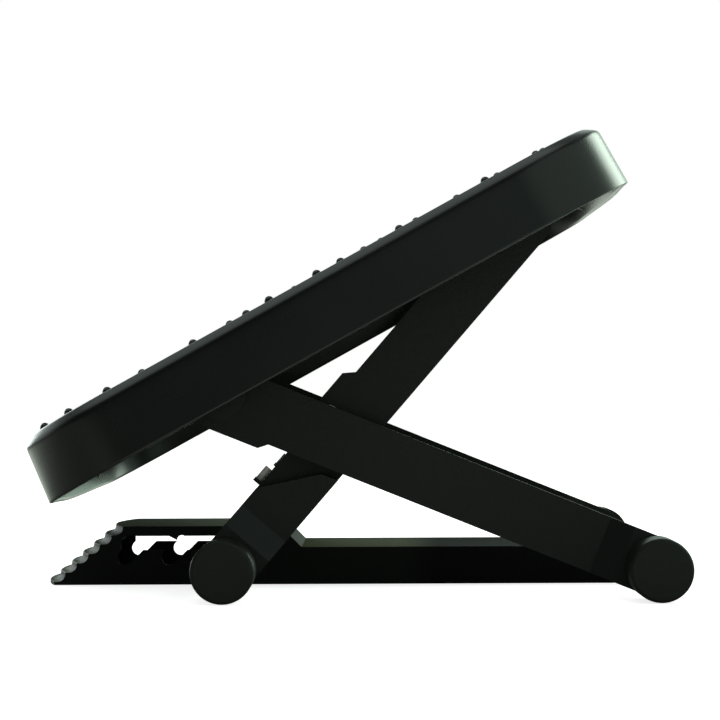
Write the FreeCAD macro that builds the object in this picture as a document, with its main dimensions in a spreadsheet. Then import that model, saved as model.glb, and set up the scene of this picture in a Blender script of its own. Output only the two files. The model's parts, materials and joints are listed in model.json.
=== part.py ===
import FreeCAD, Part
import Sketcher
import math
import os

# A folding under-desk footrest: a domed platform on two lapped scissor legs, with four
# rollers and a ratchet bar that lies on the floor between the legs.
# Row frame: +X to the rear, +Y across, +Z up, origin under the middle of its box.

DRIVING = [
    # ratchet bar
    ("bar_length", 334.5),
    ("bar_width", 110.0),
    ("bar_front_tall", 33.0),
    ("bar_rear_tall", 21.0),
    ("bar_front_long", 134.5),
    ("bar_wall", 4.0),
    ("bar_roof", 3.0),
    ("bar_eye_radius", 11.0),
    ("bar_eye_thick", 8.0),
    ("pedal_run", 38.0),
    ("pedal_tip_tall", 1.6),
    ("pedal_rib_depth", 1.9),
    ("pedal_rib_land", 0.8),
    ("pedal_rib_count", 6),
    ("pedal_bow", 6.5),
    ("window_roof_gap", 5.5),
    ("hook_pitch_near", 37.0),
    ("hook_pitch_far", 25.0),
    ("hook_slant", 45.0),
    ("hook_lift", 8.0),
    ("hook_play", 1.0),
    ("hook_mouth_radius", 4.4),
    ("window_cusp", 2.3),
    ("window_rear_reach", 16.0),
    # rods and rollers
    ("rod_radius", 4.1),
    ("roller_radius", 16.5),
    ("roller_length", 34.0),
    ("roller_face", 5.5),
    ("roller_edge", 2.0),
    ("roller_hub_radius", 7.5),
    ("roller_wall", 3.0),
    ("clip_radius", 7.5),
    ("clip_thick", 1.2),
    # legs
    ("axle_spread", 225.0),
    ("leg_thick", 12.0),
    ("leg_skin", 3.0),
    ("leg_step", 6.0),
    ("leg_step_start", 18.0),
    ("leg_step_run", 13.0),
    ("leg_gap", 2.0),
    ("leg_boss_radius", 9.0),
    ("leg_rib", 2.4),
    ("outer_leg_length", 244.9),
    ("outer_leg_wide", 31.0),
    ("outer_leg_tilt", 21.9),
    ("outer_deep_long", 28.6),
    ("outer_deep_extra", 3.8),
    ("outer_deep_ramp", 4.6),
    ("outer_leg_cells", 4),
    ("inner_leg_length", 240.8),
    ("inner_leg_wide", 30.0),
    ("inner_leg_tilt", 49.2),
    ("inner_leg_cells", 3),
    ("scissor_along", 188.2),
    ("scissor_rise", 6.8),
    ("scissor_boss_long", 50.0),
    ("scissor_boss_proud", 5.0),
    ("ledge_place", 46.0),
    ("ledge_reach", 4.3),
    ("ledge_thick", 2.0),
    ("stop_pin_radius", 1.95),
    ("stop_pin_length", 8.0),
    # platform
    ("tray_length", 350.0),
    ("tray_width", 451.0),
    ("tray_tall", 36.0),
    ("tray_bevel", 4.3),
    ("tray_corner", 55.0),
    ("tray_draft", 6.0),
    ("tray_wall", 3.0),
    ("pivot_above_rim", 7.06),
    ("glide_above_rim", 9.72),
    ("glide_from_end", 58.7),
    ("under_rib_deep", 8.0),
    ("under_rib_thick", 2.0),
    ("under_rib_pitch", 62.0),
    ("under_rib_count", 5),
    ("cross_rib_first", 75.0),
    ("cross_rib_pitch", 100.0),
    ("cross_rib_count", 3),
    ("gusset_long", 24.0),
    ("gusset_rise", 4.0),
    ("dome_radius", 3.3),
    ("dome_tall", 2.8),
    ("dome_pitch_long", 33.0),
    ("dome_pitch_wide", 32.0),
    ("dome_margin", 15.0),
    ("ear_radius", 13.5),
    ("ear_thick", 3.0),
    ("bracket_long", 62.0),
    ("bracket_base", 3.0),
    ("track_roller_radius", 5.0),
    ("track_roller_length", 9.0),
    ("track_play", 0.9),
    ("track_lip", 2.4),
    ("track_end", 5.0),
    ("track_back", 3.0),
    ("screw_radius", 2.0),
    ("screw_head_radius", 3.8),
    ("screw_head_tall", 2.4),
    ("screw_length", 4.6),
    # clearances
    ("run_fit", 0.06),
    ("side_gap", 0.4),
    ("seat_gap", 0.3),
    ("overrun", 20.0),
]

doc = FreeCAD.newDocument("footrest")
sheet = doc.addObject("Spreadsheet::Sheet", "Sizes")
for row, (alias, value) in enumerate(DRIVING, start=1):
    sheet.set("A%d" % row, alias)
    sheet.set("B%d" % row, str(value))
    sheet.setAlias("B%d" % row, alias)
doc.recompute()
size = {alias: float(sheet.get(alias)) for alias, _ in DRIVING}

X_AXIS = FreeCAD.Vector(1, 0, 0)
Y_AXIS = FreeCAD.Vector(0, 1, 0)
Z_AXIS = FreeCAD.Vector(0, 0, 1)
HALF_TURN = 180.0
parts = []


def vector(x, y, z):
    return FreeCAD.Vector(x, y, z)


def placed(x, z, angle=0.0):
    """A place in the side view, with local X lifted by the angle."""
    return FreeCAD.Placement(vector(x, 0, z), FreeCAD.Rotation(Y_AXIS, -angle))


def keep(item, label):
    """Give a finished sub-part the name of its file."""
    item.Label = label
    parts.append(item)
    return item


def new_body(name, placement):
    body = doc.addObject("PartDesign::Body", name)
    body.Placement = placement
    return body


def origin_feature(body, role):
    return next(f for f in body.Origin.OriginFeatures if f.Role == role)


def new_sketch(body, role, name, offset=None):
    """A sketch on one of the body's own planes, moved along that plane's normal."""
    sketch = body.newObject("Sketcher::SketchObject", name)
    sketch.AttachmentSupport = (origin_feature(body, role), "")
    sketch.MapMode = "FlatFace"
    if offset is not None:
        sketch.setExpression(".AttachmentOffset.Base.z", offset)
    return sketch


def draw(sketch, points):
    """A closed outline. A point is (x, z), or (x, z, mid_x, mid_z) where an arc leads to the next one."""
    for index, here in enumerate(points):
        after = points[(index + 1) % len(points)]
        start = vector(here[0], here[1], 0)
        end = vector(after[0], after[1], 0)
        if len(here) > 2:
            middle = vector(here[2], here[3], 0)
            sketch.addGeometry(Part.Arc(start, middle, end), False)
        else:
            sketch.addGeometry(Part.LineSegment(start, end), False)


def draw_circle(sketch, x, z, radius):
    """A circle whose radius is an expression of the sheet."""
    index = sketch.addGeometry(Part.Circle(vector(x, z, 0), Z_AXIS, size["rod_radius"]), False)
    mark = sketch.addConstraint(Sketcher.Constraint("Radius", index, size["rod_radius"]))
    sketch.setExpression("Constraints[%d]" % mark, radius)


def pad(body, sketch, name, length, midplane=False, reverse=False):
    feature = body.newObject("PartDesign::Pad", name)
    feature.Profile = sketch
    feature.setExpression("Length", length)
    feature.Midplane = midplane
    feature.Reversed = reverse
    doc.recompute()
    return feature


def pocket(body, sketch, name, length, midplane=False, reverse=False):
    """A pocket that has to take material away."""
    before = body.Shape.Volume
    feature = body.newObject("PartDesign::Pocket", name)
    feature.Profile = sketch
    feature.setExpression("Length", length)
    feature.Midplane = midplane
    feature.Reversed = reverse
    doc.recompute()
    if not body.Shape.Volume < before:
        raise RuntimeError(name + " cuts nothing")
    return feature


def repeat(body, feature, name, axis, rib):
    """Copies of a rib along one of the body's own axes, by its named pitch and count."""
    pattern = body.newObject("PartDesign::LinearPattern", name)
    pattern.Originals = [feature]
    pattern.Direction = (origin_feature(body, axis), [""])
    pattern.setExpression("Length", "(Sizes.%s_count - 1) * Sizes.%s_pitch" % (rib, rib))
    pattern.setExpression("Occurrences", "Sizes.%s_count" % rib)
    body.Tip = pattern
    doc.recompute()
    return pattern


def mirrored(source, name, label):
    """The right-hand twin of a left-hand sub-part."""
    twin = doc.addObject("Part::Mirroring", name)
    twin.Source = source
    twin.Normal = Y_AXIS
    twin.Base = vector(0, 0, 0)
    doc.recompute()
    return keep(twin, label)


# Levels across the part, from the middle outwards, as expressions and as numbers

HALF_BAR = "(Sizes.bar_width / 2)"
ROLLER_IN = "(Sizes.tray_width / 2 - Sizes.roller_length)"
PLATE_OUT = "(%s - Sizes.side_gap)" % ROLLER_IN
FACE_OUT = "(%s - Sizes.leg_step)" % PLATE_OUT
OUTER_IN = "(%s - Sizes.leg_thick)" % FACE_OUT
UPPER_OUT = "(%s - Sizes.leg_gap)" % OUTER_IN
UPPER_IN = "(%s - Sizes.leg_thick)" % UPPER_OUT
EAR_OUT = "(%s + Sizes.side_gap + Sizes.ear_thick)" % FACE_OUT
EAR_IN = "(%s - Sizes.side_gap - Sizes.ear_thick)" % OUTER_IN
TRACK_FACE = "(%s + Sizes.side_gap)" % UPPER_OUT
TRACK_DEEP = "(Sizes.track_roller_length + 2 * Sizes.side_gap)"
AXLE_END = "(Sizes.tray_width / 2 - Sizes.roller_face - Sizes.seat_gap)"
ROD_BORE = "Sizes.rod_radius + Sizes.run_fit"
SCREW_BORE = "Sizes.screw_radius + Sizes.run_fit"
LEG_DEPTH = "Sizes.leg_thick - Sizes.leg_skin"
THROUGH = "Sizes.tray_width + Sizes.overrun"

half_bar = size["bar_width"] / 2
roller_out = size["tray_width"] / 2
roller_in = roller_out - size["roller_length"]
plate_out = roller_in - size["side_gap"]
face_out = plate_out - size["leg_step"]
outer_in = face_out - size["leg_thick"]
upper_out = outer_in - size["leg_gap"]
upper_in = upper_out - size["leg_thick"]
lower_deep = face_out - upper_in
track_face = upper_out + size["side_gap"]
track_deep = size["track_roller_length"] + 2 * size["side_gap"]

# Places in the side view

rear_x = (size["bar_length"] + size["roller_radius"]) / 2 - size["roller_radius"]
front_x = rear_x - size["axle_spread"]
tip_x = rear_x - size["bar_length"]
axle_z = size["roller_radius"]
outer_angle = math.radians(size["outer_leg_tilt"])
inner_angle = math.radians(size["inner_leg_tilt"])


def from_rear(along, rise):
    """A point of the outer leg's side view, as row X and Z."""
    x = rear_x - along * math.cos(outer_angle) + rise * math.sin(outer_angle)
    z = axle_z + along * math.sin(outer_angle) + rise * math.cos(outer_angle)
    return x, z


def in_frame(x, z, origin_x, origin_z, angle):
    """A row point in a frame whose local X is lifted by the angle."""
    dx = x - origin_x
    dz = z - origin_z
    along = dx * math.cos(angle) + dz * math.sin(angle)
    rise = dz * math.cos(angle) - dx * math.sin(angle)
    return along, rise


pivot_x, pivot_z = from_rear(size["outer_leg_length"], 0)
scissor_x, scissor_z = from_rear(size["scissor_along"], size["scissor_rise"])
scissor_in_along, scissor_in_rise = in_frame(scissor_x, scissor_z, front_x, axle_z, inner_angle)
glide_x = front_x + size["inner_leg_length"] * math.cos(inner_angle)
glide_z = axle_z + size["inner_leg_length"] * math.sin(inner_angle)

# The platform lies on its pivot and on the slide rollers, so its tilt follows from the legs

glide_reach = math.hypot(glide_x - pivot_x, glide_z - pivot_z)
glide_drop = size["glide_above_rim"] - size["pivot_above_rim"]
tray_angle = math.atan2(glide_z - pivot_z, glide_x - pivot_x) - math.asin(glide_drop / glide_reach)
glide_along = size["tray_length"] - size["glide_from_end"]
pivot_along = glide_along - math.sqrt(glide_reach ** 2 - glide_drop ** 2)
rim_x = pivot_x - pivot_along * math.cos(tray_angle) + size["pivot_above_rim"] * math.sin(tray_angle)
rim_z = pivot_z - pivot_along * math.sin(tray_angle) - size["pivot_above_rim"] * math.cos(tray_angle)

# The fold: the front axle moves one hook forward, so both legs turn down

front_arm = math.hypot(scissor_x - front_x, scissor_z - axle_z)
rear_arm = math.hypot(scissor_x - rear_x, scissor_z - axle_z)


def corner(near, far, base):
    """The angle between the near side and the base of a triangle."""
    return math.acos((near ** 2 + base ** 2 - far ** 2) / (2 * near * base))


folded_spread = size["axle_spread"] + size["hook_pitch_near"]
front_turn = (corner(front_arm, rear_arm, size["axle_spread"])
              - corner(front_arm, rear_arm, folded_spread))
rear_turn = (corner(rear_arm, front_arm, size["axle_spread"])
             - corner(rear_arm, front_arm, folded_spread))
legs_turn = outer_angle + inner_angle
folded_turn = legs_turn - front_turn - rear_turn
folded_reach = math.hypot(
    rear_x - folded_spread + size["inner_leg_length"] * math.cos(inner_angle - front_turn)
    - rear_x + size["outer_leg_length"] * math.cos(outer_angle - rear_turn),
    size["inner_leg_length"] * math.sin(inner_angle - front_turn)
    - size["outer_leg_length"] * math.sin(outer_angle - rear_turn))
track_travel = (math.sqrt(folded_reach ** 2 - glide_drop ** 2)
                - math.sqrt(glide_reach ** 2 - glide_drop ** 2))

outer_place = placed(rear_x, axle_z, -size["outer_leg_tilt"])
inner_place = placed(front_x, axle_z, size["inner_leg_tilt"])
tray_place = placed(rim_x, rim_z, math.degrees(tray_angle))
under = size["tray_tall"] - size["tray_wall"]
seat = under - size["bracket_base"]


def rod(name, label, x, z, start, end):
    """A round bar across the part, from one Y to another."""
    item = doc.addObject("Part::Cylinder", name)
    item.setExpression("Radius", "Sizes.rod_radius")
    item.setExpression("Height", "(%s) - (%s)" % (end, start))
    item.Placement = FreeCAD.Placement(vector(x, 0, z), FreeCAD.Rotation(X_AXIS, -HALF_TURN / 2))
    item.setExpression("Placement.Base.y", start)
    doc.recompute()
    return keep(item, label)


def ring_solid(outer, inner, side, near, far):
    """A plain ring about the local Y axis, on one side of the part."""
    start = min(side * near, side * far)
    length = far - near
    whole = Part.makeCylinder(outer, length, vector(0, start, 0), Y_AXIS)
    return whole.cut(Part.makeCylinder(inner, length, vector(0, start, 0), Y_AXIS))


def group(name, label, solids, placement):
    """Several like solids that share a node."""
    item = doc.addObject("Part::Feature", name)
    item.Shape = Part.makeCompound(solids)
    item.Placement = placement
    return keep(item, label)


# Ratchet bar: an inverted channel with a ribbed, bowed pedal and hooked windows


def make_ratchet_bar():
    body = new_body("RatchetBar", placed(0, 0))
    tall = size["bar_front_tall"]
    tip_tall = size["pedal_tip_tall"]
    over = size["overrun"]
    step_x = tip_x + size["bar_front_long"]
    step_end = step_x + tall - size["bar_rear_tall"]
    eye = size["bar_eye_radius"]
    reach = math.sqrt(eye * eye - (size["bar_rear_tall"] - axle_z) ** 2)
    side = new_sketch(body, "XZ_Plane", "BarSide")
    draw(side, [
        (tip_x, 0),
        (rear_x - eye, 0),
        (rear_x - eye * math.sin(outer_angle), axle_z - eye * math.cos(outer_angle),
         rear_x + eye * math.cos(outer_angle), axle_z + eye * math.sin(outer_angle)),
        (rear_x - reach, size["bar_rear_tall"]),
        (step_end, size["bar_rear_tall"]),
        (step_x, tall),
        (tip_x + size["pedal_run"], tall),
        (tip_x, tip_tall),
    ])
    pad(body, side, "BarPad", "Sizes.bar_width", midplane=True)

    # the channel's inside, open at the bottom
    wall = size["bar_wall"]
    roof = size["bar_roof"]
    slope = size["pedal_run"] / (tall - tip_tall)
    inset = size["pedal_bow"] + (roof + size["pedal_rib_depth"]) * math.hypot(1, slope)
    inside_top = tall - roof
    rear_top = size["bar_rear_tall"] - roof
    inside = new_sketch(body, "XZ_Plane", "BarInside")
    draw(inside, [
        (tip_x + inset + (wall - tip_tall) * slope, -over),
        (rear_x - eye - wall, -over),
        (rear_x - eye - wall, rear_top),
        (step_end - roof, rear_top),
        (step_x - roof, inside_top),
        (tip_x + inset + (inside_top - tip_tall) * slope, inside_top),
        (tip_x + inset + (wall - tip_tall) * slope, wall),
    ])
    pocket(body, inside, "BarHollow", "Sizes.bar_width - 2 * Sizes.bar_wall", midplane=True)

    # bore for the rear axle, and a relief between the two eyes
    bore(body, "BarAxleBore", rear_x, axle_z, ROD_BORE)
    gap = new_sketch(body, "XZ_Plane", "BarEyeGap")
    draw(gap, [
        (rear_x - eye - wall * 2, -over),
        (rear_x + eye + over, -over),
        (rear_x + eye + over, axle_z + eye + over),
        (rear_x - eye + wall / 2, axle_z + eye + over),
        (rear_x - eye + wall / 2, rear_top),
        (rear_x - eye - wall * 2, rear_top),
    ])
    pocket(body, gap, "BarEyeRelief", "Sizes.bar_width - 2 * Sizes.bar_eye_thick", midplane=True)

    # hooked windows, cut through both side plates
    window = new_sketch(body, "XZ_Plane", "BarWindow")
    draw_window(window)
    pocket(body, window, "BarWindows", THROUGH, midplane=True)

    # scalloped pedal face, turned about an upright axis so that its ribs follow the bow
    bow_radius = (half_bar ** 2 + size["pedal_bow"] ** 2) / (2 * size["pedal_bow"])
    rise = tall - tip_tall
    face = math.hypot(size["pedal_run"], rise)
    pitch = face / size["pedal_rib_count"]
    land = size["pedal_rib_land"] / 2

    def on_face(along, deep=0.0):
        """A point of the pedal's slope, measured from the turning axis."""
        x = -bow_radius + (along * size["pedal_run"] + deep * rise) / face
        z = tip_tall + (along * rise - deep * size["pedal_run"]) / face
        return x, z

    points = [(-bow_radius - over, -over), (-bow_radius, -over)]
    for index in range(int(size["pedal_rib_count"])):
        start = pitch * index + land
        end = pitch * (index + 1) - land
        points.append(on_face(pitch * index))
        points.append(on_face(start) + on_face((start + end) / 2, size["pedal_rib_depth"]))
        points.append(on_face(end))
    points.append(on_face(face + over))
    points.append((-bow_radius - over, on_face(face + over)[1]))
    scallops = new_sketch(body, "XZ_Plane", "PedalScallops")
    scallops.AttachmentOffset = FreeCAD.Placement(vector(tip_x + bow_radius, 0, 0), FreeCAD.Rotation())
    draw(scallops, points)
    before = body.Shape.Volume
    turned = body.newObject("PartDesign::Groove", "PedalFace")
    turned.Profile = scallops
    turned.ReferenceAxis = (scallops, ["V_Axis"])
    turned.Midplane = True
    turned.Angle = HALF_TURN / 2
    doc.recompute()
    if not body.Shape.Volume < before:
        raise RuntimeError("the pedal's face is not cut")
    return keep(body, "ratchet_bar")


def draw_window(sketch):
    """A slot with three pockets that slant down to the front, the rod's seat rearmost."""
    half = size["rod_radius"] + size["seat_gap"]
    roof = size["bar_front_tall"] - size["window_roof_gap"]
    land = roof - size["hook_lift"]
    slant = math.radians(size["hook_slant"])
    side_x = half * math.sin(slant)
    side_z = half * math.cos(slant)
    low = axle_z - size["hook_play"]
    seat_x = front_x - size["hook_play"] / math.tan(slant)
    centres = [seat_x - size["hook_pitch_near"] - size["hook_pitch_far"],
               seat_x - size["hook_pitch_near"],
               seat_x]
    mouth = size["hook_mouth_radius"]
    bend = mouth * (1 - math.cos(math.radians(HALF_TURN / 4)))
    lead = (land - low - side_z) / math.tan(slant)
    left = centres[0] - side_x + lead
    points = [(left + mouth, roof, left + bend, roof - bend), (left, roof - mouth), (left, land)]
    for index, centre in enumerate(centres):
        if index:
            points.append((centre - side_x + lead, land))
        points.append((centre - side_x, low + side_z,
                       centre - half * math.cos(slant), low - half * math.sin(slant)))
        points.append((centre + side_x, low - side_z))
        points.append((centre + side_x + (land - low + side_z) / math.tan(slant), land))
    points.append((front_x + size["window_rear_reach"], land))
    points.append((front_x + size["window_rear_reach"], roof))
    for centre in reversed(centres[1:]):
        peak = centre + mouth
        points.append((peak + mouth, roof, peak + bend / 2, roof - bend / 2))
        points.append((peak, roof - size["window_cusp"]))
        points.append((peak - mouth, roof))
    draw(sketch, points)


# Legs: the outer one runs along its local -X from the rear axle, the inner one along +X from the front


def leg_strip(body, prefix, wide, plan):
    """The leg's plan, with its joggle, padded across the leg's width."""
    strip = new_sketch(body, "XY_Plane", prefix + "Plan")
    draw(strip, plan)
    pad(body, strip, prefix + "Strip", wide, midplane=True)


def trim_to(body, prefix, outline, reach):
    """Cut away all that lies outside an outline of the side view."""
    far = reach + size["overrun"]
    trim = new_sketch(body, "XZ_Plane", prefix + "Outline")
    draw(trim, [(-far, -far), (far, -far), (far, far), (-far, far)])
    draw(trim, outline)
    pocket(body, trim, prefix + "Trim", THROUGH, midplane=True)


def bore(body, name, x, z, radius):
    hole = new_sketch(body, "XZ_Plane", name + "Sketch")
    draw_circle(hole, x, z, radius)
    pocket(body, hole, name, THROUGH, midplane=True)


def channel(body, prefix, cells, start):
    """Cells moulded into the leg's inner face, parted by ribs."""
    for index, (left, right, low, high) in enumerate(cells):
        inside = new_sketch(body, "XZ_Plane", "%sCell%d" % (prefix, index), start)
        draw(inside, [(left, low), (right, low), (right, high), (left, high)])
        pocket(body, inside, "%sPocket%d" % (prefix, index), LEG_DEPTH, reverse=True)


def split(first, last, count):
    """Equal cells between two places, a rib apart, as many as a named count."""
    cells = int(size[count])
    run = (last - first) / cells
    return [(first + run * index, first + run * (index + 1) - size["leg_rib"]) for index in range(cells)]


def make_outer_leg():
    body = new_body("OuterLegLeft", outer_place)
    length = size["outer_leg_length"]
    half = size["outer_leg_wide"] / 2
    end = half + size["outer_deep_extra"]
    step0 = size["leg_step_start"]
    step1 = step0 + size["leg_step_run"]
    over = size["overrun"]
    leg_strip(body, "OuterLeg", "2 * Sizes.outer_leg_wide", [
        (over + half, -outer_in - size["leg_step"]),
        (-step0, -outer_in - size["leg_step"]),
        (-step1, -outer_in),
        (-length - end - over, -outer_in),
        (-length - end - over, -face_out),
        (-step1, -face_out),
        (-step0, -plate_out),
        (over + half, -plate_out),
    ])
    deep_start = length - size["outer_deep_long"]
    trim_to(body, "OuterLeg", [
        (0, half, half, 0),
        (0, -half),
        (-deep_start + size["outer_deep_ramp"], -half),
        (-deep_start, -end),
        (-length, -end, -length - end, 0),
        (-length + math.sqrt(end * end - half * half), half),
    ], length + end)
    low = -half + size["leg_skin"]
    high = half - size["leg_skin"]
    hub = size["leg_boss_radius"] + size["leg_rib"]
    along = size["scissor_along"]
    cells = [(-stop, -start, low, high)
             for start, stop in split(step1 + size["leg_rib"], along - hub, "outer_leg_cells")]
    cells.append((-(length - end), -(along + hub), low, high))
    channel(body, "Outer", cells, OUTER_IN)
    bore(body, "OuterAxleBore", 0, 0, ROD_BORE)
    bore(body, "OuterPivotBore", -length, 0, ROD_BORE)
    blind = new_sketch(body, "XZ_Plane", "OuterScissorBoreSketch", OUTER_IN)
    draw_circle(blind, -along, size["scissor_rise"], ROD_BORE)
    pocket(body, blind, "OuterScissorBore", LEG_DEPTH, reverse=True)
    return keep(body, "outer_leg_left")


def make_inner_leg():
    body = new_body("InnerLegLeft", inner_place)
    length = size["inner_leg_length"]
    half = size["inner_leg_wide"] / 2
    step0 = size["leg_step_start"]
    step1 = step0 + size["leg_step_run"]
    over = size["overrun"]
    back = plate_out - lower_deep
    leg_strip(body, "InnerLeg", "2 * Sizes.inner_leg_wide", [
        (-over - half, -plate_out),
        (step0, -plate_out),
        (step1, -face_out),
        (length + half + over, -face_out),
        (length + half + over, -upper_in),
        (step1, -upper_in),
        (step0, -back),
        (-over - half, -back),
    ])
    proud = half + size["scissor_boss_proud"]
    boss_start = scissor_in_along - size["scissor_boss_long"] / 2
    boss_end = scissor_in_along + size["scissor_boss_long"] / 2
    ledge = size["ledge_place"]
    ledge_top = half + size["ledge_reach"]
    trim_to(body, "InnerLeg", [
        (0, -half),
        (length, -half, length + half, 0),
        (length, half),
        (boss_end + size["scissor_boss_proud"], half),
        (boss_end, proud),
        (boss_start, proud),
        (boss_start, half),
        (ledge, half),
        (ledge, ledge_top),
        (ledge - size["ledge_thick"], ledge_top),
        (ledge - size["ledge_thick"], half),
        (0, half, -half, 0),
    ], length + half)
    cut_recess(body, half, proud, length + half + over)

    low = -half + size["leg_skin"]
    high = half - size["leg_skin"]
    hub = size["leg_boss_radius"] + size["leg_rib"]
    cells = [(step1 + size["leg_rib"], scissor_in_along - hub, low, high)]
    last = length - half - size["leg_rib"]
    cells += [(start, stop, low, high)
              for start, stop in split(scissor_in_along + hub, last, "inner_leg_cells")]
    channel(body, "Inner", cells, UPPER_IN)
    bore(body, "InnerAxleBore", 0, 0, ROD_BORE)
    bore(body, "InnerSlideBore", length, 0, ROD_BORE)
    bore(body, "InnerScissorBore", scissor_in_along, scissor_in_rise, ROD_BORE)
    return keep(body, "inner_leg_left")


def cut_recess(body, half, proud, far):
    """The recess in which the outer leg lies across the inner one, at rest and folded."""
    over = size["overrun"]
    depth = size["outer_leg_wide"] / 2 + size["outer_deep_extra"]
    reach = size["scissor_rise"] + depth + size["seat_gap"]
    lines = []
    for turn in (folded_turn, legs_turn):
        lines.append((scissor_in_along - reach * math.sin(turn),
                      scissor_in_rise - reach * math.cos(turn),
                      math.cos(turn), -math.sin(turn)))
    (fold_x, fold_z, fold_dx, fold_dz), (rest_x, rest_z, rest_dx, rest_dz) = lines
    up = (proud + over - fold_z) / fold_dz
    down = (-half - over - rest_z) / rest_dz
    cross = ((rest_x - fold_x) * rest_dz - (rest_z - fold_z) * rest_dx) / (
        fold_dx * rest_dz - fold_dz * rest_dx)
    recess = new_sketch(body, "XZ_Plane", "InnerRecess", FACE_OUT)
    draw(recess, [
        (fold_x + up * fold_dx, fold_z + up * fold_dz),
        (fold_x + cross * fold_dx, fold_z + cross * fold_dz),
        (rest_x + down * rest_dx, rest_z + down * rest_dz),
        (far, -half - over),
        (far, proud + over),
    ])
    pocket(body, recess, "InnerRecessPocket", "Sizes.leg_thick + Sizes.leg_gap")


def make_stop_pins():
    """Small steel pins that stand on the inner legs' ledges."""
    radius = size["stop_pin_radius"]
    middle = (upper_in + upper_out) / 2
    rise = size["inner_leg_wide"] / 2 + radius + size["run_fit"]
    solids = []
    for side in (-1, 1):
        start = vector(size["ledge_place"], side * middle, rise)
        solids.append(Part.makeCylinder(radius, size["stop_pin_length"], start, X_AXIS))
    group("StopPins", "ledge_pins", solids, inner_place)


# Rollers


def make_roller(name, label, x):
    """A moulded roller with a closed face, a blind bore and a hollow back."""
    body = new_body(name, placed(x, axle_z))
    radius = size["roller_radius"]
    edge = size["roller_edge"]
    face = roller_out - size["roller_face"]
    hub = size["roller_hub_radius"]
    bore_radius = size["rod_radius"] + size["run_fit"]
    wall = radius - size["roller_wall"]
    web = face - size["roller_wall"]
    round_y = roller_out - edge + edge * math.sin(math.radians(HALF_TURN / 4))
    round_z = radius - edge + edge * math.cos(math.radians(HALF_TURN / 4))
    profile = new_sketch(body, "YZ_Plane", name + "Profile")
    draw(profile, [
        (-roller_in, bore_radius),
        (-face, bore_radius),
        (-face, 0),
        (-roller_out, 0),
        (-roller_out, radius - edge, -round_y, round_z),
        (-roller_out + edge, radius),
        (-roller_in, radius),
        (-roller_in, wall),
        (-web, wall),
        (-web, hub),
        (-roller_in, hub),
    ])
    turned = body.newObject("PartDesign::Revolution", name + "Turn")
    turned.Profile = profile
    turned.ReferenceAxis = (profile, ["H_Axis"])
    turned.Angle = 2 * HALF_TURN
    doc.recompute()
    return keep(body, label)


# Platform

bracket_half = size["bracket_long"] / 2
bracket_screw = bracket_half - size["screw_head_radius"] - size["ear_thick"]
bracket_middle = (face_out + outer_in) / 2
track_side = size["track_roller_radius"] + size["seat_gap"] + size["track_play"]
track_start = glide_along - track_side
track_stop = glide_along + track_travel + track_side
track_flange = size["track_end"] + 2 * size["screw_head_radius"]
track_screw = track_start - size["track_end"] - track_flange / 2
track_middle = track_face + (track_deep + size["track_back"]) / 2
BRACKET_SCREWS = [(pivot_along - bracket_screw, bracket_middle),
                  (pivot_along + bracket_screw, bracket_middle)]
TRACK_SCREWS = [(track_screw, track_middle)]


def rounded_outline(sketch, low_x, high_x, half_y, radius):
    """A rectangle in plan with round corners."""
    lean = radius * (1 - math.cos(math.radians(HALF_TURN / 4)))
    draw(sketch, [
        (low_x + radius, -half_y),
        (high_x - radius, -half_y, high_x - lean, -half_y + lean),
        (high_x, -half_y + radius),
        (high_x, half_y - radius, high_x - lean, half_y - lean),
        (high_x - radius, half_y),
        (low_x + radius, half_y, low_x + lean, half_y - lean),
        (low_x, half_y - radius),
        (low_x, -half_y + radius, low_x + lean, -half_y + lean),
    ])


def bevel_round(body, feature, name, height):
    """Chamfer the edges of the flat face at one height."""
    face = next("Face%d" % (index + 1) for index, item in enumerate(feature.Shape.Faces)
                if abs(item.CenterOfMass.z - height) < size["run_fit"])
    bevel = body.newObject("PartDesign::Chamfer", name)
    bevel.Base = (feature, [face])
    bevel.setExpression("Size", "Sizes.tray_bevel")
    doc.recompute()


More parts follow.
